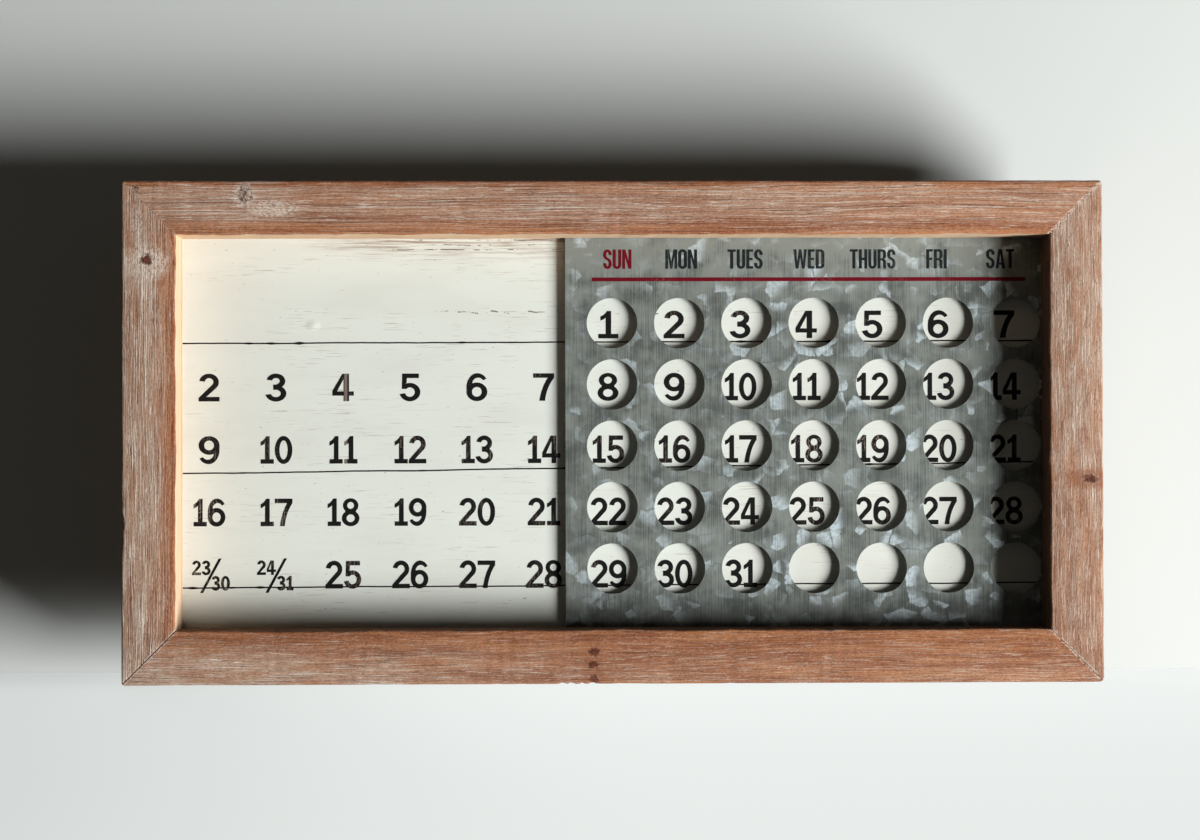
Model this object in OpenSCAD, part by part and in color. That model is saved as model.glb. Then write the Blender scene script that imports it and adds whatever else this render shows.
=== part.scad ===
// Perpetual calendar: a deep mitred timber frame around a white planked day board,
// with a zinc sheet of round windows that slides across the board in a slot in the rails.
// The frame stands on its bottom rail. X runs along the frame, -Y is the front, Z is up.

/* [Frame] */
// Overall width of the frame
frame_w = 400; // [380:1:520]
// Overall height of the frame
frame_h = 205; // [195:1:260]
// Depth of the frame from its front to its back
frame_depth = 38; // [34:0.5:60]
// Width of a rail's front face
rail_w = 22; // [20:0.5:26]
// Radius of the rails' softened long edges
edge_r = 0.8; // [0.3:0.1:1.5]

/* [Sliding panel] */
// Distance from the frame's front to the panel's front face
panel_setback = 18; // [10:0.5:19]
// Thickness of the zinc sheet
panel_t = 0.8; // [0.5:0.1:1.2]
// Width of the sheet outside the first and the last column of windows
panel_margin = 9; // [4:0.5:14]
// Diameter of a window
window_d = 20.8; // [16:0.2:23]
// Distance between window columns
window_pitch_x = 27.9; // [24:0.1:29]
// Distance between window rows
window_pitch_z = 25.4; // [24:0.1:28]
// How far the middle of the windows lies below the middle of the frame
window_drop = 5.6; // [0:0.1:10]

/* [Slot] */
// Depth of the panel's slot in the rails
slot_depth = 9; // [6:0.5:10]
// Clearance in the slot in front of the panel and behind it
slot_face_clearance = 0.35; // [0.2:0.05:0.6]
// Clearance in the slot below the panel and above it
slot_edge_clearance = 0.3; // [0.2:0.05:0.6]
// Clearance between the panel and the slot's end at the end of its travel
slot_end_clearance = 0.5; // [0.2:0.1:1]

/* [Day board] */
// Air between the panel's back and the board's face
board_gap = 2.3; // [2:0.1:5]
// Thickness of the board
board_t = 4; // [3:0.5:6]
// Width of the rebate that takes the board
rebate_w = 8; // [6:0.5:10]
// Clearance between the board's edge and the rebate
board_clearance = 0.5; // [0.2:0.1:1]
// Heights of the plank joints above the frame's foot, at mid width
joint_heights = [39.1, 87.8, 140]; // [25:0.1:190]
// Slants of the plank joints, in degrees
joint_slants = [0.2, 0.65, 0.1]; // [-1:0.05:1]
// Width of a plank joint at the board's face
joint_w = 0.9; // [0.4:0.1:2]
// Depth of a plank joint
joint_depth = 0.7; // [0.3:0.1:1.5]

/* [Fixings] */
// Width of a retaining point
point_w = 6.4; // [4:0.2:9]
// Thickness of a retaining point
point_t = 0.6; // [0.4:0.1:1]
// Length of a retaining point
point_length = 15; // [10:0.5:18]
// Length of a retaining point that is driven into the rail
point_bite = 7; // [4:0.5:8]
// Distance between neighbouring points on the long rails
point_pitch = 110; // [60:1:130]
// Length of a corner nail's leg
corner_nail_leg = 5; // [3:0.5:6]
// Thickness of a corner nail
corner_nail_t = 0.6; // [0.4:0.1:1]
// Length of a corner nail along the frame's depth
corner_nail_depth = 10; // [6:0.5:12]
// Distance from the rail's outer face to a corner nail
corner_nail_inset = 6; // [4:0.5:8]
// How far a corner nail is sunk below the frame's back
corner_nail_sink = 0.3; // [0.1:0.1:1]
// Diameter of a hanging hole
hang_hole_d = 7; // [4:0.5:8]
// Depth of a hanging hole
hang_hole_depth = 10; // [6:0.5:11]
// Distance between the two hanging holes
hang_hole_spacing = 280; // [150:1:320]

/* [Hidden] */
$fn = 64;

// How far a cut runs past the face that it opens
over = 1;

// The windows' columns and rows: the days of a week, and the weeks that a month spreads over
weekdays = 7;
weeks = 5;

// Retaining points on each rail
long_rail_points = 3;
short_rail_points = 1;

// Places along the depth, with the front at -frame_depth / 2
front_y = -frame_depth / 2;
back_y = frame_depth / 2;
panel_y = front_y + panel_setback;
slot_y = panel_y - slot_face_clearance;
slot_w = panel_t + 2 * slot_face_clearance;
board_y = panel_y + panel_t + board_gap;
board_back_y = board_y + board_t;

// Places across a rail, counted inwards from the frame's outer face
slot_floor = rail_w - slot_depth;
rebate_floor = rail_w - rebate_w;
board_edge = rebate_floor + board_clearance;

// The sliding panel, which rests against the right end of its slot
panel_w = (weekdays - 1) * window_pitch_x + window_d + 2 * panel_margin;
panel_right_x = frame_w / 2 - slot_floor - slot_end_clearance;
panel_x = panel_right_x - panel_w / 2;
panel_foot_z = slot_floor + slot_edge_clearance;
panel_h = frame_h - 2 * panel_foot_z;
window_mid_z = frame_h / 2 - window_drop;

board_w = frame_w - 2 * board_edge;
board_h = frame_h - 2 * board_edge;

timber_colour = "#a3714f";
board_colour = "#e3e0d6";
zinc_colour = "#868d8b";
steel_colour = "#9a9c9e";

// One rounded corner to take away from a square one at the origin, its timber towards +X and +Y
module corner_relief() {
    difference() {
        translate([-over, -over]) square(edge_r + over);
        translate([edge_r, edge_r]) circle(edge_r);
    }
}

// Section of a rail: 2-D x is the frame's depth, 2-D y runs inwards from the frame's outer face
module rail_section() {
    difference() {
        translate([front_y, 0]) square([frame_depth, rail_w]);
        translate([slot_y, slot_floor]) square([slot_w, slot_depth + over]);
        translate([board_y, rebate_floor]) square([back_y - board_y + over, rebate_w + over]);
        translate([front_y, 0]) corner_relief();
        translate([front_y, rail_w]) mirror([0, 1]) corner_relief();
        translate([back_y, 0]) mirror([1, 0]) corner_relief();
        translate([back_y, rebate_floor]) rotate(180) corner_relief();
    }
}

// A flat point that lies on the board's back, its tip driven down into the rebate's wall at z = 0
module retaining_point() {
    translate([0, board_back_y + point_t, 0])
        rotate([90, 0, 0])
            linear_extrude(point_t)
                polygon([[-point_w / 2, point_length - point_bite], [point_w / 2, point_length - point_bite],
                         [point_w / 2, point_w / 2 - point_bite], [0, -point_bite],
                         [-point_w / 2, point_w / 2 - point_bite]]);
}

// The points of one rail, spread about its middle
module rail_points(count) {
    for (i = [0 : count - 1])
        translate([(i - (count - 1) / 2) * point_pitch, 0, rebate_floor]) retaining_point();
}

// A bent corner nail at the lower right corner, one leg in each rail, driven in from the back
module corner_nail() {
    translate([frame_w / 2 - corner_nail_inset, back_y - corner_nail_sink, corner_nail_inset])
        rotate([90, 0, 0])
            linear_extrude(corner_nail_depth) {
                translate([-corner_nail_leg, 0]) square([corner_nail_leg, corner_nail_t]);
                translate([-corner_nail_t, 0]) square([corner_nail_t, corner_nail_leg]);
            }
}

// All four corner nails, mirrored about the frame's middle
module all_corner_nails() {
    for (side = [0, 1])
        mirror([side, 0, 0])
            for (end = [0, 1])
                translate([0, 0, end * frame_h]) mirror([0, 0, end]) corner_nail();
}

// A length of the section along X, cut at 45 degrees at both ends, lying as the bottom rail does
module mitred_length(length) {
    intersection() {
        rotate([90, 0, 90]) linear_extrude(length, center = true) rail_section();
        rotate([90, 0, 0])
            linear_extrude(frame_depth + 2 * over, center = true)
                polygon([[-length / 2, 0], [length / 2, 0],
                         [length / 2 - rail_w, rail_w], [-length / 2 + rail_w, rail_w]]);
    }
}

module bottom_place() { children(); }
module top_place() { translate([0, 0, frame_h]) rotate([0, 180, 0]) children(); }
module left_place() { translate([-frame_w / 2, 0, frame_h / 2]) rotate([0, 90, 0]) children(); }
module right_place() { translate([frame_w / 2, 0, frame_h / 2]) rotate([0, -90, 0]) children(); }

module long_rail() {
    difference() {
        mitred_length(frame_w);
        rail_points(long_rail_points);
    }
}

module short_rail() {
    difference() {
        mitred_length(frame_h);
        rail_points(short_rail_points);
    }
}

// Blind holes for two wall screws, in the middle of the rail's back
module hang_holes() {
    for (side = [-1, 1])
        translate([side * hang_hole_spacing / 2, back_y - hang_hole_depth, rebate_floor / 2])
            rotate([-90, 0, 0]) cylinder(d = hang_hole_d, h = hang_hole_depth + over);
}

module top_rail() {
    color(timber_colour)
        difference() {
            top_place() difference() {
                long_rail();
                hang_holes();
            }
            all_corner_nails();
        }
}

module bottom_rail() {
    color(timber_colour)
        difference() {
            bottom_place() long_rail();
            all_corner_nails();
        }
}

module left_rail() {
    color(timber_colour)
        difference() {
            left_place() short_rail();
            all_corner_nails();
        }
}

module right_rail() {
    color(timber_colour)
        difference() {
            right_place() short_rail();
            all_corner_nails();
        }
}

// A shallow V along the board's face, where two planks meet
module plank_joint(height, slant) {
    translate([0, board_y, height])
        rotate([0, -slant, 0])
            rotate([90, 0, 90])
                linear_extrude(frame_w, center = true)
                    polygon([[0, -joint_w / 2], [joint_depth, 0], [0, joint_w / 2],
                             [-over, joint_w / 2], [-over, -joint_w / 2]]);
}

module day_board() {
    color(board_colour)
        difference() {
            translate([-board_w / 2, board_y, board_edge]) cube([board_w, board_t, board_h]);
            for (i = [0 : len(joint_heights) - 1]) plank_joint(joint_heights[i], joint_slants[i]);
        }
}

module slide_panel() {
    color(zinc_colour)
        difference() {
            translate([panel_x - panel_w / 2, panel_y, panel_foot_z]) cube([panel_w, panel_t, panel_h]);
            for (day = [0 : weekdays - 1], week = [0 : weeks - 1])
                translate([panel_x + (day - (weekdays - 1) / 2) * window_pitch_x, panel_y - over,
                           window_mid_z + (week - (weeks - 1) / 2) * window_pitch_z])
                    rotate([-90, 0, 0]) cylinder(d = window_d, h = panel_t + 2 * over);
        }
}

module board_points() {
    color(steel_colour) {
        bottom_place() rail_points(long_rail_points);
        top_place() rail_points(long_rail_points);
        left_place() rail_points(short_rail_points);
        right_place() rail_points(short_rail_points);
    }
}

module corner_nails() {
    color(steel_colour) all_corner_nails();
}

top_rail();
bottom_rail();
left_rail();
right_rail();
day_board();
slide_panel();
board_points();
corner_nails();
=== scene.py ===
"""Perpetual calendar: limed timber frame, white planked day board and sliding zinc sheet of round windows."""
import math
from functools import partial

import bmesh
import bpy
from bmesh.types import BMEdge, BMFace, BMVert
from bpy.props import FloatProperty, FloatVectorProperty, PointerProperty
from mathutils import Matrix, Vector, noise


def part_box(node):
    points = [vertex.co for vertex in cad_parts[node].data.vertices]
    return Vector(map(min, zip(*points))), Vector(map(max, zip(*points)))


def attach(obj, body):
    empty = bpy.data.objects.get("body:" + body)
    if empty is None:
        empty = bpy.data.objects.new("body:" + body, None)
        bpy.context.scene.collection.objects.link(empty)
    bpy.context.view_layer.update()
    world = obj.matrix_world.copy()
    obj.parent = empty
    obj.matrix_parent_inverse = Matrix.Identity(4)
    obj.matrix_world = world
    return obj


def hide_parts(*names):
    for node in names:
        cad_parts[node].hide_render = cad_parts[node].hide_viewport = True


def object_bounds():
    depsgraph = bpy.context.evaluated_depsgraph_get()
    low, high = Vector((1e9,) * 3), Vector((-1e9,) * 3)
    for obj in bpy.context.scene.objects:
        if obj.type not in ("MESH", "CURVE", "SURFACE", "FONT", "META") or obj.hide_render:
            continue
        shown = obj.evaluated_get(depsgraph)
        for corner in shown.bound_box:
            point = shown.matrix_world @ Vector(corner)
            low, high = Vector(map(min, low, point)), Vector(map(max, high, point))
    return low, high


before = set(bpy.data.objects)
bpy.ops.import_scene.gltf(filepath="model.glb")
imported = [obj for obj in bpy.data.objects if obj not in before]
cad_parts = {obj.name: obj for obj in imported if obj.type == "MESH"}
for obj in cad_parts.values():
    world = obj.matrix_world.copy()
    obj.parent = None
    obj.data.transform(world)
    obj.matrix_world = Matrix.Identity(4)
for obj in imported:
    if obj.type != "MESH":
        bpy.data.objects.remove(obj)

CAD_LOW, CAD_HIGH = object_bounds()
CAD_MID = (CAD_LOW + CAD_HIGH) / 2
CAD_SIZE = CAD_HIGH - CAD_LOW

bl_info = {
    "name": "Perpetual calendar",
    "version": (1, 0, 0),
    "blender": (4, 5, 0),
    "location": "3D View > Sidebar > Calendar",
    "description": "Builds a sliding perpetual calendar piece by piece",
    "category": "Add Mesh",
}

MM = 0.001
SIDES = (-1, 1)

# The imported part's sizes that its boxes don't give
SLOT_FACE_CLEARANCE = 0.35 * MM
SLOT_EDGE_CLEARANCE = 0.3 * MM
BOARD_CLEARANCE = 0.5 * MM
WINDOW_D = 20.8 * MM
WINDOW_PITCH = Vector((27.9 * MM, 25.4 * MM))
WINDOW_DROP = 5.6 * MM
WEEKDAYS = 7
WEEKS = 5
HOLE_D = 7 * MM
HOLE_DEPTH = 10 * MM
HOLE_SPACING = 280 * MM
NAIL_LEG = 5 * MM
NAIL_T = 0.6 * MM
# Plank joints: height above the foot at mid width, and rise to the right in degrees
PLANK_JOINTS = ((39.1 * MM, 0.2), (87.8 * MM, 0.65), (140 * MM, 0.1))

# How finely the pieces are drawn, and past what angle in degrees an edge stays sharp to the eye
RAIL_STEP = 1.2 * MM
EDGE_SEGMENTS = 4
BOARD_SLICES = 160
WINDOW_SEGMENTS = 72
HOLE_SEGMENTS = 40
RAIL_SHARP, SHEET_SHARP = 38, 30
# The frame's outer corners: turns of the flats that round them, in degrees, and the corner that is worn most
CORNER_TURNS = (15, 32, 45, 58, 75)
WORN_CORNER, WORN_MORE = (1, -1), 1.35

# Print on the board: place of the first column and the top row, and the steps between them
DAY_FIRST = Vector((-167.1 * MM, 147.2 * MM))
DAY_PITCH = Vector((27.7 * MM, 25.85 * MM))
# The second block of columns stands a little closer than the first
DAY_SECOND_X = -1.9 * MM
DAY_SECOND_PITCH = 27.5 * MM
LAST_DAY = 31
# Two places hold two numbers each and stand closer still: from such a place to the end of the first number,
# the middle of the slash and the start of the second number
SHARED_PITCH = 27.0 * MM
SHARED_FIRST = Vector((0.6 * MM, 3.0 * MM))
SHARED_SLASH = Vector((0.7 * MM, -2.95 * MM))
SHARED_SECOND = Vector((0.9 * MM, -3.4 * MM))
# Print on the sheet
HEADS = ("SUN", "MON", "TUES", "WED", "THURS", "FRI", "SAT")
HEAD_FIRST = Vector((2.0 * MM, 174.2 * MM))
HEAD_PITCH = 26.51 * MM
RULE_X = (-8.6 * MM, 171.6 * MM)
RULE_Z = 165.8 * MM
# How far print is squeezed across, and the gap between its characters as a share of their height
ALONE, PAIR, SHARED, HEAD, LONG_HEAD = (1.0, 0), (0.84, 0.035), (0.82, 0.05), (1.0, 0.045), (0.97, 0.045)
# Ink reaches a little into the face that it lies on
INK_SUNK = 1.2


def srgb(code):
    """Linear colour of an sRGB hex code."""
    parts = [int(code[i:i + 2], 16) / 255 for i in (0, 2, 4)]
    return tuple(c / 12.92 if c <= 0.04045 else ((c + 0.055) / 1.055) ** 2.4 for c in parts)


def length(name, description, default):
    """A length that the user can set, in metres."""
    return FloatProperty(name=name, description=description, default=default, min=0.0, unit="LENGTH",
                         subtype="DISTANCE", precision=5)


def colour(name, description, code):
    """A colour that the user can set."""
    return FloatVectorProperty(name=name, description=description, default=srgb(code), min=0.0, max=1.0,
                               size=3, subtype="COLOR")


class CalendarSizes(bpy.types.PropertyGroup):
    """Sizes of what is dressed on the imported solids."""

    edge_radius: length("Edge radius", "Radius of the rails' worn long edges", 0.9 * MM)
    edge_wear: length("Edge wear", "How far the rails' front edges wander", 0.45 * MM)
    corner_radius: length("Corner radius", "Radius of the frame's outer corners", 1.7 * MM)
    joint_width: length("Joint width", "Width of the joints between the planks", 0.6 * MM)
    joint_depth: length("Joint depth", "Depth of the joints between the planks", 0.6 * MM)
    rim: length("Rim", "Chamfer of the sheet's cut edges", 0.12 * MM)
    numeral_height: length("Numeral height", "Height of the day numbers", 11.4 * MM)
    shared_height: length("Shared numeral height", "Height of two numbers that share a place", 6.0 * MM)
    slash_height: length("Slash size", "Size of the slash between them, as for a numeral", 8.9 * MM)
    head_height: length("Head height", "Height of the weekday heads", 8.0 * MM)
    rule_width: length("Rule width", "Thickness of the rule under the heads", 1.6 * MM)
    ink: length("Ink", "Thickness of the print", 0.04 * MM)


class CalendarColours(bpy.types.PropertyGroup):
    """Colours of the finishes."""

    stain: colour("Stain", "Brown stain of the rails", "935b3d")
    stain_pale: colour("Pale stain", "Stain where the grain is open", "ad7450")
    fibre: colour("Fibre", "Dark fibres and cracks in the rails", "4f3023")
    knot: colour("Knot", "Heart of a knot", "602e22")
    lime: colour("Lime", "Thin whitewash over the grain", "c8b09d")
    lime_thick: colour("Thick lime", "Whitewash that fills the open grain", "e6d8ca")
    raw: colour("Raw timber", "Unfinished faces of the rails", "d8bd9f")
    # Painted shade: the darker tint of the bottom and right rails' inner faces, which face away from the lamp
    raw_dark: colour("Darkened timber", "Inner faces that took some stain", "564941")
    paint: colour("Paint", "White paint of the board", "e6ebe4")
    scuff: colour("Scuff", "Brown where the paint is worn", "92705d")
    # Real dirt in the joints, and also the tint of the painted shade along the feet of the board and the
    # sheet
    dirt: colour("Dirt", "Dirt in the joints", "231f1d")
    ink: colour("Ink", "Black print", "1d1c1c")
    head_ink: colour("Head ink", "Black print on the zinc", "1f2628")
    red_ink: colour("Red ink", "Red print", "68111f")
    rubbed_ink: colour("Rubbed ink", "Black print where it is rubbed thin", "a8968a")
    zinc: colour("Zinc", "Dull zinc between the spangles", "868c87")
    zinc_dark: colour("Dark zinc", "Zinc in the rolling lines", "575d5a")
    spangle: colour("Spangle", "Bright zinc crystals", "c9d7dd")
    steel: colour("Steel", "Plain steel of the fixings", "9a9c9e")
    backdrop: colour("Backdrop", "Pale floor and wall", "d8dcda")
    fill: colour("Fill", "Light that fills the shadows", "e1d8cc")


def settings(context):
    """The sizes and colours that the user has set."""
    return context.scene.calendar_sizes, context.scene.calendar_colours


# Materials

# Kinds of node with their settings, where these come again and again
SOFT = ("MapRange", {"interpolation_type": "SMOOTHSTEP"})
TIMES, PLUS, LESS, SIZE, MOST, TIMES_PLUS = (("Math", {"operation": name}) for name in (
    "MULTIPLY", "ADD", "SUBTRACT", "ABSOLUTE", "MAXIMUM", "MULTIPLY_ADD"))
SHIFTED, APART, SCALED, REACH = (("VectorMath", {"operation": name}) for name in (
    "ADD", "SUBTRACT", "SCALE", "LENGTH"))
# Hairlines in mm across, drawn this coarse so that they show in the render
HAIRLINE = 0.5
# How far the grain wanders, the lime's edge frays and the board's marks stray to either side
GRAIN_SWAY, LIME_FRAY, MARK_DRIFT = 1.9 * MM, 5 * MM, 2.4 * MM
KNOT_DEPTH = 3 * MM

# Each rail's looks. band: where from the outer face its lime starts, is whole, begins to thin and ends, in
# mm. ends: how much lime there is at its left or lower end, and from its middle on. bright: its tone. run:
# how far its grain runs. streaky: how plain its streaks are. knots: knots and scrapes, each with its place
# along and across the frame and its half sizes in mm, the tone of its heart, and the lime and the brown
# round it.
LIMED = {
    "top_rail": dict(
        band=(0.0, 3.5, 11.0, 22.0), ends=(0.74, 0.66), bright=1.04, run=1.0, streaky=0.9,
        knots=(((-150.4, 199.2), (2.8, 3.2), 0.45, 0.9, 0.0), ((-138.0, 193.6), (6.5, 2.4), 0.0, 0.65, 0.0),
               ((-194.5, 201.3), (1.5, 1.3), 0.5, 0.3, 0.0))),
    "bottom_rail": dict(
        band=(-4.0, -1.0, 4.0, 22.0), ends=(1.4, 0.28), bright=0.95, run=0.45, streaky=0.65,
        knots=(((-8.2, 13.0), (1.9, 1.5), 0.9, 0.0, 0.4), ((-8.5, 7.7), (2.0, 1.3), 0.9, 0.1, 0.3),
               ((-8.5, 2.0), (1.6, 1.5), 0.8, 0.1, 0.3))),
    "left_rail": dict(
        band=(-4.0, -1.0, 9.0, 22.0), ends=(1.25, 1.1), bright=0.99, run=0.6, streaky=0.85,
        knots=(((171.5, -189.4), (4.6, 5.6), 0.0, 0.7, 0.0), ((172.7, -189.6), (2.2, 2.5), 0.95, 0.9, 0.0),
               ((187.0, -193.5), (5.5, 1.6), 0.0, 0.5, 0.0))),
    "right_rail": dict(
        band=(-2.0, 1.0, 19.0, 25.0), ends=(0.6, 1.1), bright=0.84, run=0.35, streaky=0.55,
        knots=(((83.0, 194.9), (1.4, 3.2), 0.8, 0.2, 0.7),)),
}
# Marks worn into the board, in mm: height, first and last place along it, share of the drift, length of a
# dash, half thickness and depth of tone
BOARD_MARKS = ((182.4, -112, -14, 0.15, 12, 0.26, 1.0), (178.4, -104, -14, 0.2, 9, 0.26, 0.95),
               (180.4, -80, -22, 0.5, 6, 0.3, 0.7), (152.4, -76, -24, 1.3, 4, 0.4, 0.85),
               (151.8, 0, 26, 0.5, 4, 0.35, 0.8), (33.0, -60, 30, 1.0, 5, 0.35, 0.6))
# Zinc crystals: size in mm, share of the sheet's cells, where they start to shine and shine most, and the
# strength
SPANGLES = ((6.5, 0.7, -0.05, 0.8, 0.30), (8.0, 0.26, -0.1, 0.45, 0.85), (5.0, 0.14, -0.1, 0.4, 0.8))


def add(tree, kind, *sockets, out=0, named=None, **options):
    """Adds a node of a kind, which may bring settings, sets or links its sockets in order or by name, and
    gives one of its outputs."""
    kind, preset = (kind, {}) if isinstance(kind, str) else kind
    node = tree.nodes.new("ShaderNode" + kind)
    for key, value in {**preset, **options}.items():
        setattr(node, key, value)
    for key, value in [*enumerate(sockets), *(named or {}).items()]:
        socket = node.inputs[key]
        if isinstance(value, bpy.types.NodeSocket):
            tree.links.new(value, socket)
        else:
            socket.default_value = (*value, 1.0) if socket.type == "RGBA" else value
    return node.outputs[out] if node.outputs else node


def start_nodes(holder):
    """Empties a material's or world's nodes, and gives a way to add to them."""
    holder.use_nodes = True
    holder.node_tree.nodes.clear()
    return partial(add, holder.node_tree)


def start_material(name):
    """A new material, a way to add nodes to it, and a point's places along X, Y and Z."""
    material = bpy.data.materials.new(name)
    node = start_nodes(material)
    return material, node, node("SeparateXYZ", node("TexCoord", out="Object")).node.outputs


def coat(node, tint, finish, relief=None, strength=0.0, depth=0.0):
    """Closes a material: its tint and finish, and where it has a relief, how plain and how deep that is."""
    if relief is not None:
        bump = node("Bump", named={"Strength": strength, "Distance": depth, "Height": relief})
        finish = {**finish, "Normal": bump}
    node("OutputMaterial", node("BsdfPrincipled", tint, named=finish))


def lay(node, tint, *coats):
    """Lays coats of colour over a tint, one after the other, each by its own amount."""
    for amount, over in coats:
        tint = node("MixRGB", amount, tint, over)
    return tint


def streaks(node, vector, size, detail=3.0, rough=0.55, place=(0, 0, 0)):
    """Noise drawn out along the first axis: marks of about this length and width, in mm."""
    along, across = (1 / (mm * MM) for mm in size)
    drawn = node("Mapping", vector, place, named={"Scale": (along, across, across)})
    return node("TexNoise", drawn, named={"Scale": 1.0, "Detail": detail, "Roughness": rough})


def marks(node, vector, size, levels, amounts=(0.0, 1.0), **drawing):
    """Streaks as an amount, which goes softly from one value to the other between two levels of the noise."""
    return node(SOFT, streaks(node, vector, size, **drawing), *levels, *amounts)


def wander(node, vector, size, reach, detail):
    """A shift to either side, no further than this reach, by streaks of this size."""
    return node("MapRange", streaks(node, vector, size, detail), 0.0, 1.0, -reach, reach)


def torn(node, vector, grit, reach, detail):
    """A place shifted by noise of this grit and reach, in mm, so that what is drawn there has a torn rim."""
    shift = node("TexNoise", vector, out="Color", named={"Scale": 1 / (grit * MM), "Detail": detail})
    shift = node(APART, shift, (0.5, 0.5, 0.5))
    shift = node(SCALED, shift, named={"Scale": reach * MM})
    return node(SHIFTED, vector, shift)


def oval(node, vector, middle, halves):
    """How far a place lies from the middle of an oval, which ends at 1."""
    near = node("Mapping", vector, middle, named={"Scale": halves}, vector_type="TEXTURE")
    return node(REACH, near, out="Value")


def distance(node, value, other):
    """How far two values lie apart."""
    return node(SIZE, node(LESS, value, other))


def insets(node, x, z):
    """How far in a point lies from the frame's nearer side, and from its top or foot, whichever is nearer."""
    return (node(LESS, CAD_SIZE.x / 2, distance(node, x, CAD_MID.x)),
            node(LESS, CAD_SIZE.z / 2, distance(node, z, CAD_MID.z)))


def limed_timber(name, upright, colours, band, ends, bright, run, streaky, knots):
    """Limed stained pine, planed: whitewash stays in the open grain over a brown stain, so the eye sees brown
    timber with pale and dark hairlines along it, greyer where the lime is thick and browner where it is
    rubbed."""
    material, node, (x, y, z) = start_material(name)
    along, across = (z, x) if upright else (x, z)
    start, middle = (CAD_LOW.z, CAD_MID.z) if upright else (CAD_LOW.x, CAD_MID.x)
    straight = node("CombineXYZ", along, across, y)
    sway = wander(node, straight, (30 + 50 * run, 14), GRAIN_SWAY, 1.0)
    grain = node(SHIFTED, straight, node("CombineXYZ", 0.0, sway))
    from_side, from_level = insets(node, x, z)
    # Stain in broad bands, and the lime that covers a ragged band of the rail
    bands = marks(node, grain, (120 * run, 3.5), (0.38, 0.62))
    tint = node("MixRGB", bands, colours.stain, colours.stain_pale)
    ragged = wander(node, grain, (28, 3), LIME_FRAY, 3.0)
    inset = node(PLUS, from_side if upright else from_level, ragged)
    starts, whole, thins, stops = (place * MM for place in band)
    held = node(TIMES, node(SOFT, inset, starts, whole), node(SOFT, inset, stops, thins))
    clouds = marks(node, grain, (45 * run, 6), (0.35, 0.62), (0.45, 1.0), place=(3.1, 0, 0))
    lime = node(TIMES, held, clouds)
    lime = node(TIMES, lime, node("MapRange", along, start, middle, *ends))
    tint = node("MixRGB", node(TIMES, lime, 0.62), tint, colours.lime)
    # Dark fibres, and pale hairlines and dashes that the lime left
    fibres = marks(node, grain, (45 * run, HAIRLINE), (0.47, 0.33), (0.0, 0.65 * streaky), detail=2.0,
                   place=(0, 0, 4.9))
    hairs = marks(node, grain, (60 * run, HAIRLINE), (0.53, 0.66), (0.0, streaky), detail=2.0,
                  place=(0, 7.3, 0))
    hairs = node(TIMES, hairs, node(TIMES_PLUS, lime, 0.85, 0.12))
    dashes = marks(node, grain, (12, HAIRLINE), (0.59, 0.67), detail=2.0, place=(0, 17.3, 0))
    dashes = node(TIMES, dashes, node(TIMES_PLUS, lime, 0.7, 0.25))
    # Pores and grit
    specks = streaks(node, grain, (1.1, 0.55), 1.0, place=(1.9, 0, 0))
    tint = lay(node, tint, (fibres, colours.fibre), (hairs, colours.lime_thick), (dashes, colours.lime_thick),
               (node(SOFT, specks, 0.48, 0.26, 0.0, 0.35), colours.fibre),
               (node(SOFT, specks, 0.56, 0.78, 0.0, 0.18), colours.lime_thick))
    # Knots, torn at the rim and creased, with lime caught round them
    spot = torn(node, straight, 1.5, 2.6, 3.0)
    creases = node("TexNoise", straight, named={"Scale": 1 / (2.2 * MM), "Detail": 2.0})
    creases = node(SOFT, distance(node, creases, 0.5), 0.06, 0.01, 0.0, 0.9)
    grit = node(SOFT, specks, 0.42, 0.58, 0.25, 1.0)
    for (u, v), (half_u, half_v), core, halo, brown in knots:
        near = oval(node, spot, (u * MM, v * MM, CAD_LOW.y), (half_u * MM, half_v * MM, KNOT_DEPTH))
        round_it = node(TIMES, node(SOFT, near, 2.0, 0.9, 0.0, halo), grit)
        creased = node(TIMES, creases, node(SOFT, near, 1.6, 1.0, 0.0, min(1.0, 2 * core)))
        tint = lay(node, tint, (node(SOFT, near, 4.5, 1.5, 0.0, brown), colours.stain),
                   (round_it, colours.lime_thick), (node(SOFT, near, 1.3, 0.6, 0.0, core), colours.knot),
                   (creased, colours.fibre))
    # The mitre: lime caught along it, least at the upper left, and a dark line, plainest at the lower left
    off_mitre = distance(node, from_side, from_level)
    left = node(SOFT, x, 50 * MM, -100 * MM)
    upper = node(SOFT, z, 80 * MM, 140 * MM)
    caught = node(SOFT, off_mitre, 1.6 * MM, 0.2 * MM, 0.0, 0.75)
    caught = node(TIMES, caught, node(SOFT, specks, 0.38, 0.6))
    upper_left = node(TIMES, left, upper)
    caught = node(TIMES, caught, node("MapRange", upper_left, 0.0, 1.0, 1.0, 0.3))
    opened = node(TIMES, node("MapRange", left, 0.0, 1.0, 0.55, 1.0),
                  node("MapRange", upper, 0.0, 1.0, 0.95, 0.25))
    line = node(TIMES, node(SOFT, off_mitre, 0.50 * MM, 0.20 * MM), opened)
    tint = lay(node, tint, (caught, colours.lime_thick), (line, colours.fibre))
    tint = node(SCALED, tint, named={"Scale": bright})
    relief = node(LESS, node(PLUS, hairs, specks), fibres)
    coat(node, tint, {"Roughness": 0.82, "Specular IOR Level": 0.1}, relief, 0.7, 0.22 * MM)
    return material


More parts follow.
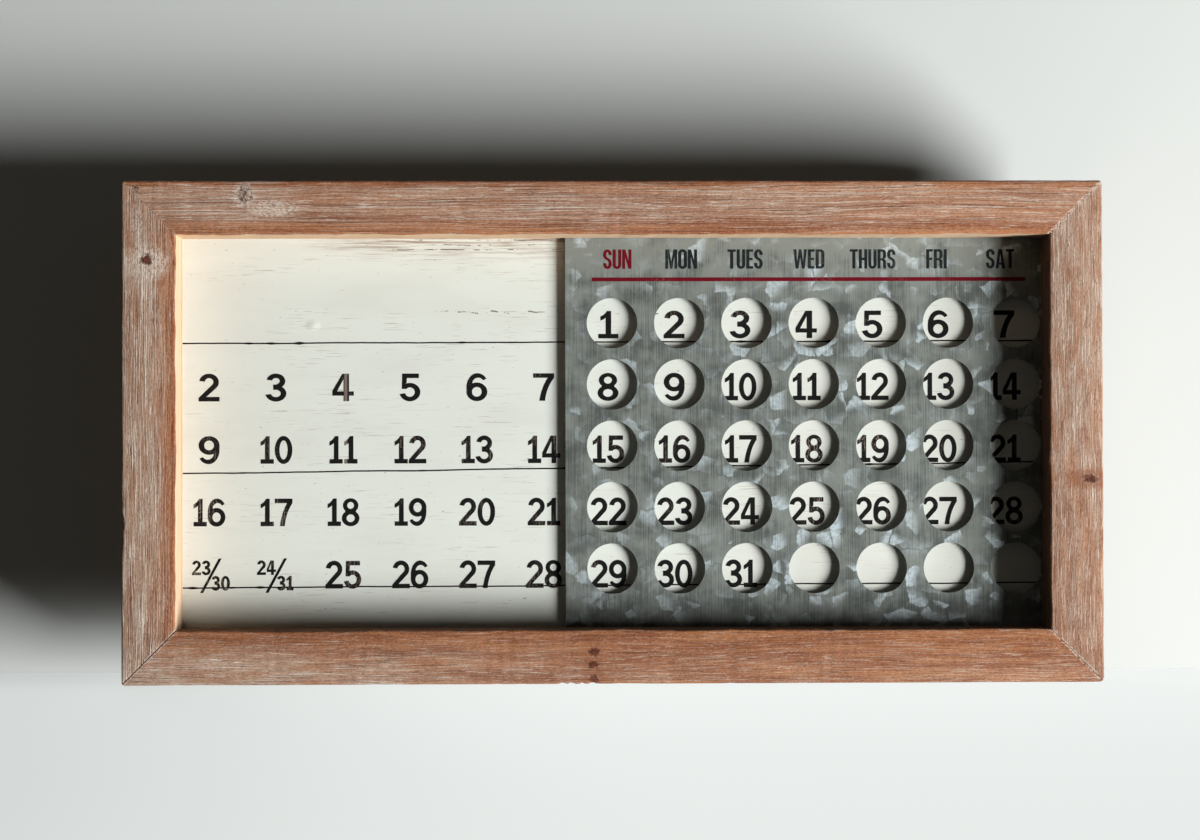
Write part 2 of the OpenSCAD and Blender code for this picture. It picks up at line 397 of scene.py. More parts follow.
def raw_timber(name, upright, tint, colours):
    """Raw sawn pine with a soft grain, on the faces that were never limed, in the tint that it is given: pale
    straw on most, darker where shade is painted on inner faces.
    """
    material, node, (x, y, z) = start_material("raw pine, " + name)
    along, across = (z, x) if upright else (x, z)
    fine = streaks(node, node("CombineXYZ", along, across, y), (40, 1.1), 4.0, 0.6)
    tint = node("MixRGB", node(SOFT, fine, 0.35, 0.7, 0.0, 0.4), tint, colours.stain_pale)
    # The mitres show as dark lines on the rails' backs, as far in as the board's rebate
    from_side, from_level = insets(node, x, z)
    seam = node(SOFT, distance(node, from_side, from_level), 0.35 * MM, 0.1 * MM, 0.0, 0.75)
    on_rail = node("Math", from_side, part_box("day_board")[0].z - BOARD_CLEARANCE, operation="LESS_THAN")
    tint = node("MixRGB", node(TIMES, seam, on_rail), tint, colours.fibre)
    coat(node, tint, {"Roughness": 0.85, "Specular IOR Level": 0.1}, fine, 0.3, 0.2 * MM)
    return material


def painted_board(colours):
    """Matt white paint on planed planks, worn: faint brown scuffs along them, dark flecks at chips."""
    material, node, (x, y, z) = start_material("matt white paint, worn")
    grain = node("CombineXYZ", x, z, y)
    cloud = streaks(node, grain, (60, 16), 4.0)
    tint = node("MixRGB", node(SOFT, cloud, 0.42, 0.75, 0.0, 0.08), colours.paint, colours.scuff)
    # Browner beside the left rail, and darker towards the right, where the sheet mostly covers the board
    browner_left = node(SOFT, x, -120 * MM, -179 * MM, 0.0, 0.09)
    darker_right = node(SOFT, x, 5 * MM, 90 * MM, 0.0, 0.10)
    tint = node("MixRGB", node(PLUS, browner_left, darker_right), tint, colours.scuff)
    # Scuffs in patches, and thin flecks
    patches = marks(node, grain, (45, 11), (0.44, 0.64), detail=2.0, place=(1.3, 0, 0))
    scuffs = marks(node, grain, (12, 0.45), (0.60, 0.70), (0.0, 0.5), place=(0, 5.1, 0))
    tint = node("MixRGB", node(TIMES, scuffs, patches), tint, colours.scuff)
    flecks = marks(node, grain, (2.4, 0.7), (0.71, 0.76), (0.0, 0.7), detail=2.0, place=(0, 9.7, 0))
    tint = node("MixRGB", flecks, tint, colours.fibre)
    # The worn strip near the top edge, left of the middle
    strip = node(TIMES, node(SOFT, z, 171 * MM, 181 * MM),
                 node(SOFT, distance(node, x, -58 * MM), 85 * MM, 35 * MM))
    worn = marks(node, grain, (24, 0.6), (0.42, 0.66), (0.0, 0.8), detail=4.0, rough=0.7, place=(0, 2.9, 0))
    tint = node("MixRGB", node(TIMES, worn, strip), tint, colours.scuff)
    # Broken dark lines and rows of chips
    drift = wander(node, grain, (13, 60), MARK_DRIFT, 2.0)
    for height, first, last, loose, dash, thick, tone in BOARD_MARKS:
        level = node(TIMES_PLUS, drift, loose, z)
        line = distance(node, level, height * MM)
        line = node(SOFT, line, thick * MM, 0.4 * thick * MM, 0.0, tone)
        beside = distance(node, x, (first + last) / 2 * MM)
        beside = node(SOFT, beside, (last - first) / 2 * MM, (last - first) * 0.3 * MM)
        broken = marks(node, grain, (dash, 4), (0.50, 0.57), rough=0.7, place=(height, 0, 0))
        line = node(TIMES, node(TIMES, line, broken), beside)
        tint = node("MixRGB", line, tint, colours.fibre)
    # Painted shade along the foot, where the bottom rail casts its shadow
    tint = node("MixRGB", node(SOFT, z, 37 * MM, 22 * MM, 0.0, 0.25), tint, colours.dirt)
    # A low blister in the paint, left of the middle
    blister = oval(node, grain, (-124 * MM, 147.2 * MM, 0), (2.8 * MM, 2.2 * MM, 1))
    blister = node(SOFT, blister, 1.3, 0.0, 0.0, 2.0)
    relief = node(PLUS, cloud, blister)
    coat(node, tint, {"Roughness": 0.7, "Specular IOR Level": 0.12}, relief, 0.5, 0.25 * MM)
    return material


def printed_ink(name, tint, worn_tint, amount):
    """Worn screen-print ink: flat and dull, rubbed thin in specks and along fine upright scratches."""
    material, node, (x, _, z) = start_material(name)
    upright = node("CombineXYZ", z, x)
    scratches = marks(node, upright, (7, 0.6), (0.54, 0.66))
    specks = marks(node, upright, (0.9, 0.8), (0.56, 0.66), detail=2.0, place=(0, 3.3, 0))
    region = marks(node, upright, (20, 16), (0.53, 0.67), detail=1.0, place=(0.6, 0.2, 0))
    lost = node(TIMES, node(MOST, scratches, specks), region)
    # One long scrape down a column of numbers
    scrape = node(SOFT, distance(node, x, -110.6 * MM), 0.9 * MM, 0.3 * MM)
    scrape = node(TIMES, scrape, node(SOFT, z, 80 * MM, 90 * MM))
    lost = node(TIMES, node(MOST, lost, scrape), amount)
    coat(node, node("MixRGB", lost, tint, worn_tint), {"Roughness": 0.75, "Specular IOR Level": 0.05})
    return material


def galvanised_sheet(colours):
    """Hot-dip zinc gone dull: dark grey with fine rolled lines, and frosty crystals that catch the light."""
    material, node, (x, _, z) = start_material("galvanised steel, dull spangle")
    flat = node("CombineXYZ", x, z)
    bent = torn(node, flat, 3.2, 2.3, 2.0)
    # Soft clouding and the rolling lines
    cloud = node("TexNoise", flat, named={"Scale": 1 / (13 * MM), "Detail": 4.0, "Roughness": 0.6})
    rolled = streaks(node, node("CombineXYZ", z, x), (26, 0.45), 2.0)
    shade = node(TIMES_PLUS, cloud, 0.9, node(TIMES, rolled, 0.6))
    # Painted light: the sheet is lighter towards its top edge
    shade = node(PLUS, shade, node(SOFT, z, 155 * MM, 178 * MM, 0.0, 0.14))
    tint = node("MixRGB", node(SOFT, shade, 0.56, 0.92), colours.zinc_dark, colours.zinc)
    # Crystals, brighter towards the right as painted light, and frosted
    right_light = node(SOFT, x, -10 * MM, 120 * MM, 0.7, 1.2)
    frost = node("TexNoise", flat, named={"Scale": 1 / (1.6 * MM), "Detail": 3.0})
    right_light = node(TIMES, right_light, node(SOFT, frost, 0.36, 0.58, 0.6, 1.0))
    cells = {"named": {"Scale": 1.0, "Randomness": 1.0}, "voronoi_dimensions": "2D"}
    for cell, share, edge, reach, strength in SPANGLES:
        seeds = node("Mapping", bent, (cell, share, 0), named={"Scale": (1 / (cell * MM),) * 3})
        crystal = node("TexVoronoi", seeds, **cells).node.outputs
        rim = node("TexVoronoi", seeds, **cells, feature="DISTANCE_TO_EDGE")
        lot = node("SeparateColor", crystal["Color"]).node.outputs
        turn = node(TIMES, lot["Green"], 2 * math.pi)
        facing = node("CombineXYZ", node("Math", turn, operation="COSINE"),
                      node("Math", turn, operation="SINE"))
        inside = node(APART, seeds, crystal["Position"])
        ramp = node("VectorMath", inside, facing, out="Value", operation="DOT_PRODUCT")
        glow = node(SOFT, ramp, edge, reach, 0.0, strength)
        glow = node(TIMES, glow, node(SOFT, lot["Red"], 1 - share, 1.1 - share))
        glow = node(TIMES, glow, node(SOFT, rolled, 0.30, 0.62, 0.6, 1.0))
        glow = node(TIMES, glow, node(SOFT, rim, 0.0, 0.07))
        tint = node("MixRGB", node(TIMES, glow, right_light), tint, colours.spangle)
    # Darker along the foot, most at its left end: painted shade of the bottom rail, with some darker zinc
    foot = node(TIMES, node(SOFT, z, 42 * MM, 22 * MM),
                node(SOFT, x, -20 * MM, 30 * MM, 0.35, 0.12))
    tint = node("MixRGB", foot, tint, colours.dirt)
    coat(node, tint, {"Metallic": 0.15, "Roughness": 0.5, "Specular IOR Level": 0.3}, rolled, 0.25, 0.05 * MM)
    return material


def mottled(name, tint, spot, levels, amount, finish):
    """A plain finish with soft spots of another tint, 2 mm in size."""
    material = bpy.data.materials.new(name)
    node = start_nodes(material)
    mottle = node("TexNoise", node("TexCoord", out="Object"), named={"Scale": 1 / (2 * MM)})
    mottle = node(SOFT, mottle, *levels, 0.0, amount)
    coat(node, node("MixRGB", mottle, tint, spot), finish)
    return material


def joint_dirt(colours):
    """Old dirt packed in the joints: nearly black and quite dull, a little browner in places."""
    return mottled("dirt in the joints, dull", colours.dirt, colours.fibre, (0.35, 0.7), 0.3,
                   {"Roughness": 0.9, "Specular IOR Level": 0.05})


def bright_steel(colours):
    """Plain cold-rolled steel: bright grey, with a faint mottle."""
    return mottled("cold-rolled steel, bright", colours.steel, colours.zinc_dark, (0.3, 0.7), 0.25,
                   {"Metallic": 0.9, "Roughness": 0.4})


# Meshes

# Material slots. A rail's first is its limed face, and the board's last is its back, as on a rail
INNER_FACE, BACK_FACE = 1, 2
PAINTED_FACE, JOINT_FACE = 0, 1
# How far behind the rail's front a face counts as one of its inner faces, or as turned to the back
INNER_FROM, BACK_FROM = 0.8 * MM, 3 * MM
# Points this close are merged, snapped to a cut, taken for the same, or taken to lie on the board's face
MERGED, SNAPPED, NEAR, ON_FACE = 0.002 * MM, 0.001 * MM, 0.01 * MM, 0.1 * MM


def put_in_scene(thing):
    """Links an object to the scene."""
    bpy.context.scene.collection.objects.link(thing)


def make_object(bm, name, materials=()):
    """Turns a bmesh into an object that isn't in the scene yet."""
    mesh = bpy.data.meshes.new(name)
    bm.to_mesh(mesh)
    bm.free()
    for material in materials:
        mesh.materials.append(material)
    return bpy.data.objects.new(name, mesh)


def finish_piece(bm, name, body, materials, nodes=(), sharp=None):
    """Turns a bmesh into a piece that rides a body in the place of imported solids, smooth up to an angle."""
    bmesh.ops.remove_doubles(bm, verts=bm.verts[:], dist=MERGED)
    bmesh.ops.recalc_face_normals(bm, faces=bm.faces[:])
    piece = make_object(bm, name, materials)
    if sharp is not None:
        piece.data.shade_smooth()
        piece.data.set_sharp_from_angle(angle=math.radians(sharp))
    put_in_scene(piece)
    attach(piece, body)
    if nodes:
        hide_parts(*nodes)
    return piece


def only(kind, parts):
    """The vertices, edges or faces among what an operator gives back."""
    return [part for part in parts if isinstance(part, kind)]


def whole(bm):
    """All of a mesh, as some operators take it."""
    return bm.verts[:] + bm.edges[:] + bm.faces[:]


def draw_out(bm, faces, way):
    """Extrudes faces along a vector."""
    drawn = bmesh.ops.extrude_face_region(bm, geom=faces)["geom"]
    bmesh.ops.translate(bm, vec=way, verts=only(BMVert, drawn))


def cut(bm, point, normal, keep_both=False):
    """Cuts the whole mesh by a plane, and closes it again where a side is taken away."""
    parts = bmesh.ops.bisect_plane(bm, geom=whole(bm), dist=SNAPPED, plane_co=point, plane_no=normal,
                                   clear_outer=not keep_both)
    rim = only(BMEdge, parts["geom_cut"])
    if rim and not keep_both:
        bmesh.ops.edgeloop_fill(bm, edges=rim)


def rail_section():
    """Corners of a rail's section, as distances front to back and inwards from the outer face, those to
    round, its front and the width of its face."""
    low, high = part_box("bottom_rail")
    panel_low, panel_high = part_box("slide_panel")
    board_low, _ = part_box("day_board")
    front, back, face = low.y, high.y, high.z - low.z
    slot_front, slot_back = panel_low.y - SLOT_FACE_CLEARANCE, panel_high.y + SLOT_FACE_CLEARANCE
    slot_floor = panel_low.z - SLOT_EDGE_CLEARANCE
    rebate_floor = board_low.z - BOARD_CLEARANCE
    section = [(front, 0), (front, face), (slot_front, face), (slot_front, slot_floor),
               (slot_back, slot_floor), (slot_back, face), (board_low.y, face), (board_low.y, rebate_floor),
               (back, rebate_floor), (back, 0)]
    worn = [(front, 0), (front, face), (back, 0), (back, rebate_floor)]
    return section, worn, front, face


def weather(bm, front, face, wear, seed, chips):
    """Wanders the two front edges as knocks and planing leave them, always into the timber on the outside."""
    reach, long_wave, short_wave = 2 * MM, 19 * MM, 5 * MM
    for v in bm.verts:
        x, y, inwards = v.co
        if y > front + reach:
            continue
        slow = noise.noise(Vector((x / long_wave, seed, 0.0)))
        quick = noise.noise(Vector((x / short_wave, seed + 3.7, 0.0)))
        stray = wear * (0.7 * slow + 0.4 * quick)
        if inwards > face - reach:
            v.co.z += 1.6 * stray - 0.3 * wear
        elif inwards < reach:
            v.co.z += max(0.0, stray * 0.8)
            for middle, half, depth in chips:
                v.co.z += depth * math.exp(-(((x - middle) / half) ** 4))
        v.co.y += abs(quick) * wear * 0.5


def round_corners(bm, radius):
    """Rounds the frame's outer corners by a few flats each."""
    for side in SIDES:
        for up in SIDES:
            worn = radius * (WORN_MORE if (side, up) == WORN_CORNER else 1.0)
            heart = Vector((CAD_MID.x + side * (CAD_SIZE.x / 2 - worn), 0,
                            CAD_MID.z + up * (CAD_SIZE.z / 2 - worn)))
            for degrees in CORNER_TURNS:
                turn = math.radians(degrees)
                out = Vector((side * math.cos(turn), 0, up * math.sin(turn)))
                cut(bm, heart + out * worn, out)


def build_rail(name, span, place, seed, materials, sizes, chips):
    """One mitred rail: its section drawn out, its edges worn, cut at the mitres, then put in place."""
    section, worn, front, face = rail_section()
    bm = bmesh.new()
    end = bm.faces.new([bm.verts.new((-span / 2, y, inwards)) for y, inwards in section])
    draw_out(bm, [end], (span, 0, 0))

    def long_edges():
        return [e for e in bm.edges if abs(e.verts[0].co.x - e.verts[1].co.x) > span / 2]

    soft = [e for e in long_edges() for y, inwards in worn
            if abs(e.verts[0].co.y - y) < NEAR and abs(e.verts[0].co.z - inwards) < NEAR]
    bmesh.ops.bevel(bm, geom=soft, offset=sizes.edge_radius, offset_type="OFFSET", segments=EDGE_SEGMENTS,
                    profile=0.5, affect="EDGES", material=-1)
    bmesh.ops.subdivide_edges(bm, edges=long_edges(), cuts=round(span / RAIL_STEP), use_grid_fill=True)
    bmesh.ops.recalc_face_normals(bm, faces=bm.faces[:])
    for f in bm.faces:
        depth = f.calc_center_median().y - front
        if abs(f.normal.y) > 0.5 and depth > BACK_FROM:
            f.material_index = BACK_FACE
        elif f.normal.z > 0.5 and depth > INNER_FROM:
            f.material_index = INNER_FACE
    weather(bm, front, face, sizes.edge_wear, seed, chips)
    for side in SIDES:
        cut(bm, (side * span / 2, 0, 0), (side, 0, 1))
    bmesh.ops.transform(bm, matrix=place, verts=bm.verts[:])
    round_corners(bm, sizes.corner_radius)
    return finish_piece(bm, name, "frame", materials, [name], RAIL_SHARP)


def back_cuts():
    """What is taken out of the rails' backs: two hanging holes, and the seats above the sunk corner nails."""
    bm = bmesh.new()
    back, top = CAD_HIGH.y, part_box("day_board")[1].z + BOARD_CLEARANCE
    for side in SIDES:
        heart = Vector((side * HOLE_SPACING / 2, back, (top + CAD_HIGH.z) / 2))
        place = Matrix.Translation(heart) @ Matrix.Rotation(math.pi / 2, 4, "X")
        bmesh.ops.create_cone(bm, cap_ends=True, segments=HOLE_SEGMENTS, radius1=HOLE_D / 2,
                              radius2=HOLE_D / 2, depth=2 * HOLE_DEPTH, matrix=place)
    low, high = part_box("corner_nails")
    for x, side in ((low.x, 1), (high.x, -1)):
        for z, up in ((low.z, 1), (high.z, -1)):
            for wide, tall in ((NAIL_LEG, NAIL_T), (NAIL_T, NAIL_LEG)):
                middle = Vector((x + side * wide / 2, back, z + up * tall / 2))
                size = Vector((wide, 2 * (back - high.y), tall))
                bmesh.ops.create_cube(bm, size=1.0, matrix=Matrix.LocRotScale(middle, None, size))
    bmesh.ops.recalc_face_normals(bm, faces=bm.faces[:])
    for f in bm.faces:
        f.material_index = BACK_FACE
    return make_object(bm, "back_cuts")


def take_out(piece, cutter):
    """Cuts one mesh out of a piece for good."""
    cutter.data.materials.clear()
    for material in piece.data.materials:
        cutter.data.materials.append(material)
    put_in_scene(cutter)
    modifier = piece.modifiers.new("cuts", "BOOLEAN")
    modifier.operation, modifier.solver, modifier.use_self = "DIFFERENCE", "EXACT", True
    modifier.object = cutter
    uncut = piece.data
    piece.data = bpy.data.meshes.new_from_object(piece.evaluated_get(bpy.context.evaluated_depsgraph_get()))
    piece.data.name = piece.name
    piece.modifiers.clear()
    bpy.data.meshes.remove(uncut)
    bpy.context.scene.collection.objects.unlink(cutter)


class CALENDAR_OT_add_rails(bpy.types.Operator):
    """Adds the four mitred rails, with worn edges, rounded outer corners and the cuts in their backs"""

    bl_idname = "calendar.add_rails"
    bl_label = "Add rails"

    def execute(self, context):
        sizes, colours = settings(context)
        width, height = CAD_SIZE.x, CAD_SIZE.z
        top = Matrix.Translation((0, 0, height)) @ Matrix.Rotation(math.pi, 4, "Y")
        left, right = (Matrix.Translation((side * width / 2, 0, height / 2))
                       @ Matrix.Rotation(-side * math.pi / 2, 4, "Y") for side in SIDES)
        # Chips in the outer edges: middle along the rail, half length and depth
        nibbles = [(x * MM, 0.9 * MM, 0.55 * MM) for x in (-21.0, -17.5, -13.0, -9.0)]
        knocks = [(height / 2 - 66.0 * MM, 3.0 * MM, 0.75 * MM),
                  (height / 2 - 60.0 * MM, 5.0 * MM, 0.35 * MM)]
        # The bottom and right rails' inner faces take a darker tint, painted shade where they face away from
        # the lamp
        rails = (("bottom_rail", width, Matrix.Identity(4), 1.3, nibbles, colours.raw_dark),
                 ("top_rail", width, top, 8.1, (), colours.raw),
                 ("left_rail", height, left, 15.9, knocks, colours.raw),
                 ("right_rail", height, right, 23.2, (), colours.raw_dark))
        backs = [raw_timber("grain " + way, way == "upright", colours.raw, colours)
                 for way in ("level", "upright")]
        cutter = back_cuts()
        for name, span, place, seed, chips, inner in rails:
            upright = span == height
            materials = [limed_timber("limed pine, " + name, upright, colours, **LIMED[name]),
                         raw_timber("inside of " + name, upright, inner, colours), backs[upright]]
            take_out(build_rail(name, span, place, seed, materials, sizes, chips), cutter)
        bpy.data.objects.remove(cutter)
        return {"FINISHED"}


class CALENDAR_OT_add_board(bpy.types.Operator):
    """Adds the white day board, with narrow wandering joints between its planks"""

    bl_idname = "calendar.add_board"
    bl_label = "Add board"

    def execute(self, context):
        sizes, colours = settings(context)
        low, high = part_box("day_board")
        bm = bmesh.new()
        bmesh.ops.create_cube(bm, size=1.0, matrix=Matrix.LocRotScale((low + high) / 2, None, high - low))
        for i in range(1, BOARD_SLICES):
            cut(bm, (low.x + (high.x - low.x) * i / BOARD_SLICES, 0, 0), (1, 0, 0), keep_both=True)
        for height, rise in PLANK_JOINTS:
            slant = math.radians(rise)
            across = Vector((-math.sin(slant), 0, math.cos(slant)))
            middle = Vector((0, 0, height))
            for offset in (-0.5, 0.0, 0.5):
                cut(bm, middle + across * offset * sizes.joint_width, across, keep_both=True)
            # The joint's bottom goes in, and all of it wanders and widens at chips
            for v in bm.verts:
                off = (v.co - middle).dot(across)
                if v.co.y > low.y + ON_FACE or abs(off) > 0.51 * sizes.joint_width:
                    continue
                if abs(off) < 0.1 * sizes.joint_width:
                    v.co.y += sizes.joint_depth
                slow, quick, chip = (noise.noise(Vector((v.co.x / (wave * MM), height / MM, seed)))
                                     for wave, seed in ((31, 0.0), (7, 5.0), (4, 9.0)))
                v.co.z += (0.28 * slow + 0.10 * quick) * MM + 4.0 * max(0.0, chip - 0.3) * off
        bmesh.ops.recalc_face_normals(bm, faces=bm.faces[:])
        for f in bm.faces:
            in_joint = f.normal.y < -0.3 and abs(f.normal.z) > 0.3
            f.material_index = JOINT_FACE if in_joint else BACK_FACE if f.normal.y > 0.5 else PAINTED_FACE
        materials = [painted_board(colours), joint_dirt(colours),
                     raw_timber("back of the board", False, colours.raw, colours)]
        finish_piece(bm, "day_board", "frame", materials, ["day_board"])
        return {"FINISHED"}


class CALENDAR_OT_add_sheet(bpy.types.Operator):
    """Adds the sliding zinc sheet, with its round windows and chamfered edges"""

    bl_idname = "calendar.add_sheet"
    bl_label = "Add zinc sheet"

    def execute(self, context):
        sizes, colours = settings(context)
        low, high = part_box("slide_panel")
        rim, mid_y = sizes.rim, (low.y + high.y) / 2
        centre = Vector(((low.x + high.x) / 2, low.y, (low.z + high.z) / 2))
        lying = Matrix.Rotation(math.pi / 2, 4, "X")
        bm = bmesh.new()
        # The sheet's outline, a chamfer in from its edges, and its windows, each a chamfer wider
        half = Vector((high.x - low.x, high.z - low.z)) / 2
        around = Matrix.Diagonal((2 ** 0.5 * (half.x - rim), 1, 2 ** 0.5 * (half.y - rim), 1))
        square = Matrix.Translation(centre) @ around @ lying @ Matrix.Rotation(math.pi / 4, 4, "Z")
        bmesh.ops.create_circle(bm, segments=4, radius=1.0, matrix=square)
        middle = Vector((centre.x, low.y, CAD_MID.z - WINDOW_DROP))
        hearts = [middle + Vector(((day - (WEEKDAYS - 1) / 2) * WINDOW_PITCH.x, 0,
                                   (week - (WEEKS - 1) / 2) * WINDOW_PITCH.y))
                  for day in range(WEEKDAYS) for week in range(WEEKS)]
        for heart in hearts:
            bmesh.ops.create_circle(bm, segments=WINDOW_SEGMENTS, radius=WINDOW_D / 2 + rim,
                                    matrix=Matrix.Translation(heart) @ lying)
        bmesh.ops.triangle_fill(bm, use_beauty=True, edges=bm.edges[:])
        # Chamfer all the cut edges, then carry them straight back to the sheet's middle
        for move_in, back_to in ((rim, low.y + rim), (0.0, mid_y)):
            loose = [e for e in bm.edges if e.is_boundary]
            for v in only(BMVert, bmesh.ops.extrude_edge_only(bm, edges=loose)["geom"]):
                nearest = min(hearts, key=lambda h: (v.co - h).xz.length)
                outwards = (v.co - nearest).xz
                if outwards.length < WINDOW_D:
                    outwards = outwards.normalized() * -move_in
                    v.co.x += outwards.x
                    v.co.z += outwards.y
                else:
                    v.co.x += math.copysign(move_in, v.co.x - centre.x)
                    v.co.z += math.copysign(move_in, v.co.z - centre.z)
                v.co.y = back_to
        bmesh.ops.mirror(bm, geom=whole(bm), matrix=Matrix.Translation((0, -mid_y, 0)), merge_dist=NEAR,
                         axis="Y")
        zinc = galvanised_sheet(colours)
        finish_piece(bm, "zinc_sheet", "panel", [zinc], ["slide_panel"], SHEET_SHARP)
        return {"FINISHED"}


# Print: closed outlines of lines and elliptical arcs on a cap height of 1

# Thickness of upright and level strokes in the numerals, in those that share a place, and in the letters
STEM, BAR = 0.203, 0.164
BOLD = (0.245, 0.185)
POST, BEAM = 0.165, 0.125
# A numeral's width, and half of it
WIDE = 0.76
HALF = WIDE / 2
# A letter's crossbar, the underside of its top stroke, the height of its round ends and how far these pass
# the line
MID_LOW, MID_HIGH = 0.5 - BEAM / 2, 0.5 + BEAM / 2
TOP = 1 - BEAM
BOWL = 0.20
PAST = 0.012


def arc(cx, cy, rx, ry, start, end):
    """Points along an ellipse from one angle to another, in degrees."""
    count = max(2, round(abs(end - start) / 10))
    turns = [math.radians(start + (end - start) * i / count) for i in range(count + 1)]
    return [(cx + rx * math.cos(t), cy + ry * math.sin(t)) for t in turns]


def ring(cx, cy, rx, ry):
    """A whole ellipse."""
    return arc(cx, cy, rx, ry, 0, 360)[:-1]


def bend(a, b, c):
    """Points along a curve from a to c that leans towards b."""
    return [tuple((1 - t) ** 2 * p + 2 * t * (1 - t) * q + t * t * r for p, q, r in zip(a, b, c))
            for t in (i / 8 for i in range(9))]


def zero(stem=STEM, bar=BAR):
    return [ring(HALF, 0.5, HALF, 0.51), ring(HALF, 0.5, HALF - stem, 0.51 - bar)]


def one(stem=STEM, bar=BAR, foot=WIDE):
    left, right = foot / 2 + 0.02 - stem / 2, foot / 2 + 0.02 + stem / 2
    return [[(0.03, 0), (foot, 0), (foot, bar), (right, bar), (right, 1), (left + 0.05, 1)]
            + bend((left, 0.93), (left - 0.08, 0.84), (left - 0.19, 0.80))
            + bend((left - 0.19, 0.65), (left - 0.08, 0.68), (left, 0.75)) + [(left, bar), (0.03, bar)]]


def narrow_one(stem=STEM, bar=BAR):
    return one(stem, bar, 0.60)


def two(stem=STEM, bar=BAR):
    cy, ry, rx = 0.70, 0.31, 0.47 * WIDE
    return [[(0, 0), (WIDE, 0), (WIDE, bar), (0.37 * WIDE, bar)] + arc(HALF, cy, rx, ry, -38, 172)
            + arc(HALF, cy, rx - stem, ry - bar, 172, -32) + [(0, 0.13)]]


def three(stem=STEM, bar=BAR):
    top, low, mid = 0.735, 0.285, 0.48 * WIDE
    top_rx, low_rx, top_ry, low_ry = 0.45 * WIDE, 0.5 * WIDE, 0.275, 0.295
    waist_high, waist_low = top - top_ry + bar * 0.92, low + low_ry - bar
    return [arc(mid, low, low_rx, low_ry, -172, 52) + arc(mid, top, top_rx, top_ry, -48, 170)
            + arc(mid, top, top_rx - stem, top_ry - bar, 170, -62)
            + [(mid + 0.02, waist_high), (mid - 0.10, waist_high)]
            + [(mid - 0.10, waist_low), (mid + 0.02, waist_low)]
            + arc(mid, low, low_rx - stem, low_ry - bar, 75, -172)]


def four(stem=STEM, bar=BAR):
    right = 0.80 * WIDE
    left, low, high = right - stem, 0.20, 0.20 + bar * 0.95
    return [[(left, 0), (right, 0), (right, low), (WIDE + 0.02, low), (WIDE + 0.02, high), (right, high),
             (right, 1), (left - 0.04, 1), (0, high + 0.02), (0, low), (left, low)],
            [(left, high), (0.17, high), (left, 0.80)]]


def five(stem=STEM, bar=BAR):
    cy, rx, ry, mid, left = 0.325, 0.5 * WIDE, 0.335, 0.49 * WIDE, 0.12 * WIDE
    return [[(left, 1), (0.10 * WIDE, 0.44), (0.10 * WIDE + stem * 0.9, 0.44)]
            + arc(mid, cy, rx - stem, ry - bar, 128, -168) + arc(mid, cy, rx, ry, -168, 118)
            + [(left + stem * 0.8, 0.66), (left + stem * 0.85, 1 - bar)]
            + [(0.92 * WIDE, 1 - bar), (0.92 * WIDE, 1)]]


def six(stem=STEM, bar=BAR):
    cy, ry = 0.33, 0.34
    return [arc(HALF, cy, HALF, ry, -180, 112)
            + arc(HALF + 0.05, 0.60, HALF - stem + 0.05, 0.41 - bar, 165, 38)
            + arc(HALF + 0.02, 0.60, HALF, 0.41, 30, 80) + arc(HALF + 0.02, 0.50, HALF + 0.02, 0.51, 90, 176),
            ring(HALF, cy, HALF - stem, ry - bar)]


def seven(stem=STEM, bar=BAR):
    return [[(0, 1), (0, 1 - bar)] + bend((WIDE - stem - 0.03, 1 - bar), (0.30, 0.50), (0.22, 0))
            + bend((0.43, 0), (0.48, 0.48), (WIDE, 1 - bar)) + [(WIDE, 1)]]


def eight(stem=STEM, bar=BAR):
    top, low = 0.745, 0.28
    top_rx, low_rx, top_ry, low_ry = 0.44 * WIDE, 0.5 * WIDE, 0.265, 0.29
    return [arc(HALF, low, low_rx, low_ry, 128, 412) + arc(HALF, top, top_rx, top_ry, -46, 226),
            ring(HALF, top, top_rx - stem * 0.93, top_ry - bar * 0.85),
            ring(HALF, low, low_rx - stem, low_ry - bar * 0.92)]


def nine(stem=STEM, bar=BAR):
    return [[(WIDE - x, 1 - y) for x, y in outline] for outline in six(stem, bar)]


def slash():
    return [[(0, 0), (0.14, 0), (1.0, 1.6), (0.86, 1.6)]]


def letter_i():
    return [[(0, 0), (POST, 0), (POST, 1), (0, 1)]]


def letter_t(width=0.43):
    left, right = width / 2 - POST / 2, width / 2 + POST / 2
    return [[(left, 0), (right, 0), (right, TOP), (width, TOP), (width, 1), (0, 1), (0, TOP), (left, TOP)]]


def upper_arms(width):
    """The middle and the top arm of E and F, from below the crossbar round to the top of the post."""
    short = width * 0.92
    return [(POST, MID_LOW), (short, MID_LOW), (short, MID_HIGH), (POST, MID_HIGH), (POST, TOP), (width, TOP),
            (width, 1), (0, 1)]


def letter_e(width=0.36):
    return [[(0, 0), (width, 0), (width, BEAM), (POST, BEAM)] + upper_arms(width)]


def letter_f():
    return [[(0, 0), (POST, 0)] + upper_arms(0.35)]


def letter_h(width=0.46):
    inner = width - POST
    return [[(0, 0), (POST, 0), (POST, MID_LOW), (inner, MID_LOW), (inner, 0), (width, 0), (width, 1),
             (inner, 1), (inner, MID_HIGH), (POST, MID_HIGH), (POST, 1), (0, 1)]]


def letter_n(width=0.48):
    leg, inner = POST * 0.93, width - POST * 0.93
    return [[(0, 0), (leg, 0), (leg, 0.60), (inner, 0), (width, 0), (width, 1), (inner, 1), (inner, 0.42),
             (POST, 1), (0, 1)]]


def letter_m(width=0.62):
    mid, inner, leg = width / 2, width - POST * 0.9, POST * 0.9
    return [[(0, 0), (leg, 0), (leg, 0.66), (mid - 0.055, 0), (mid + 0.055, 0), (inner, 0.66), (inner, 0),
             (width, 0), (width, 1), (inner - 0.05, 1), (mid, 0.36), (leg + 0.05, 1), (0, 1)]]


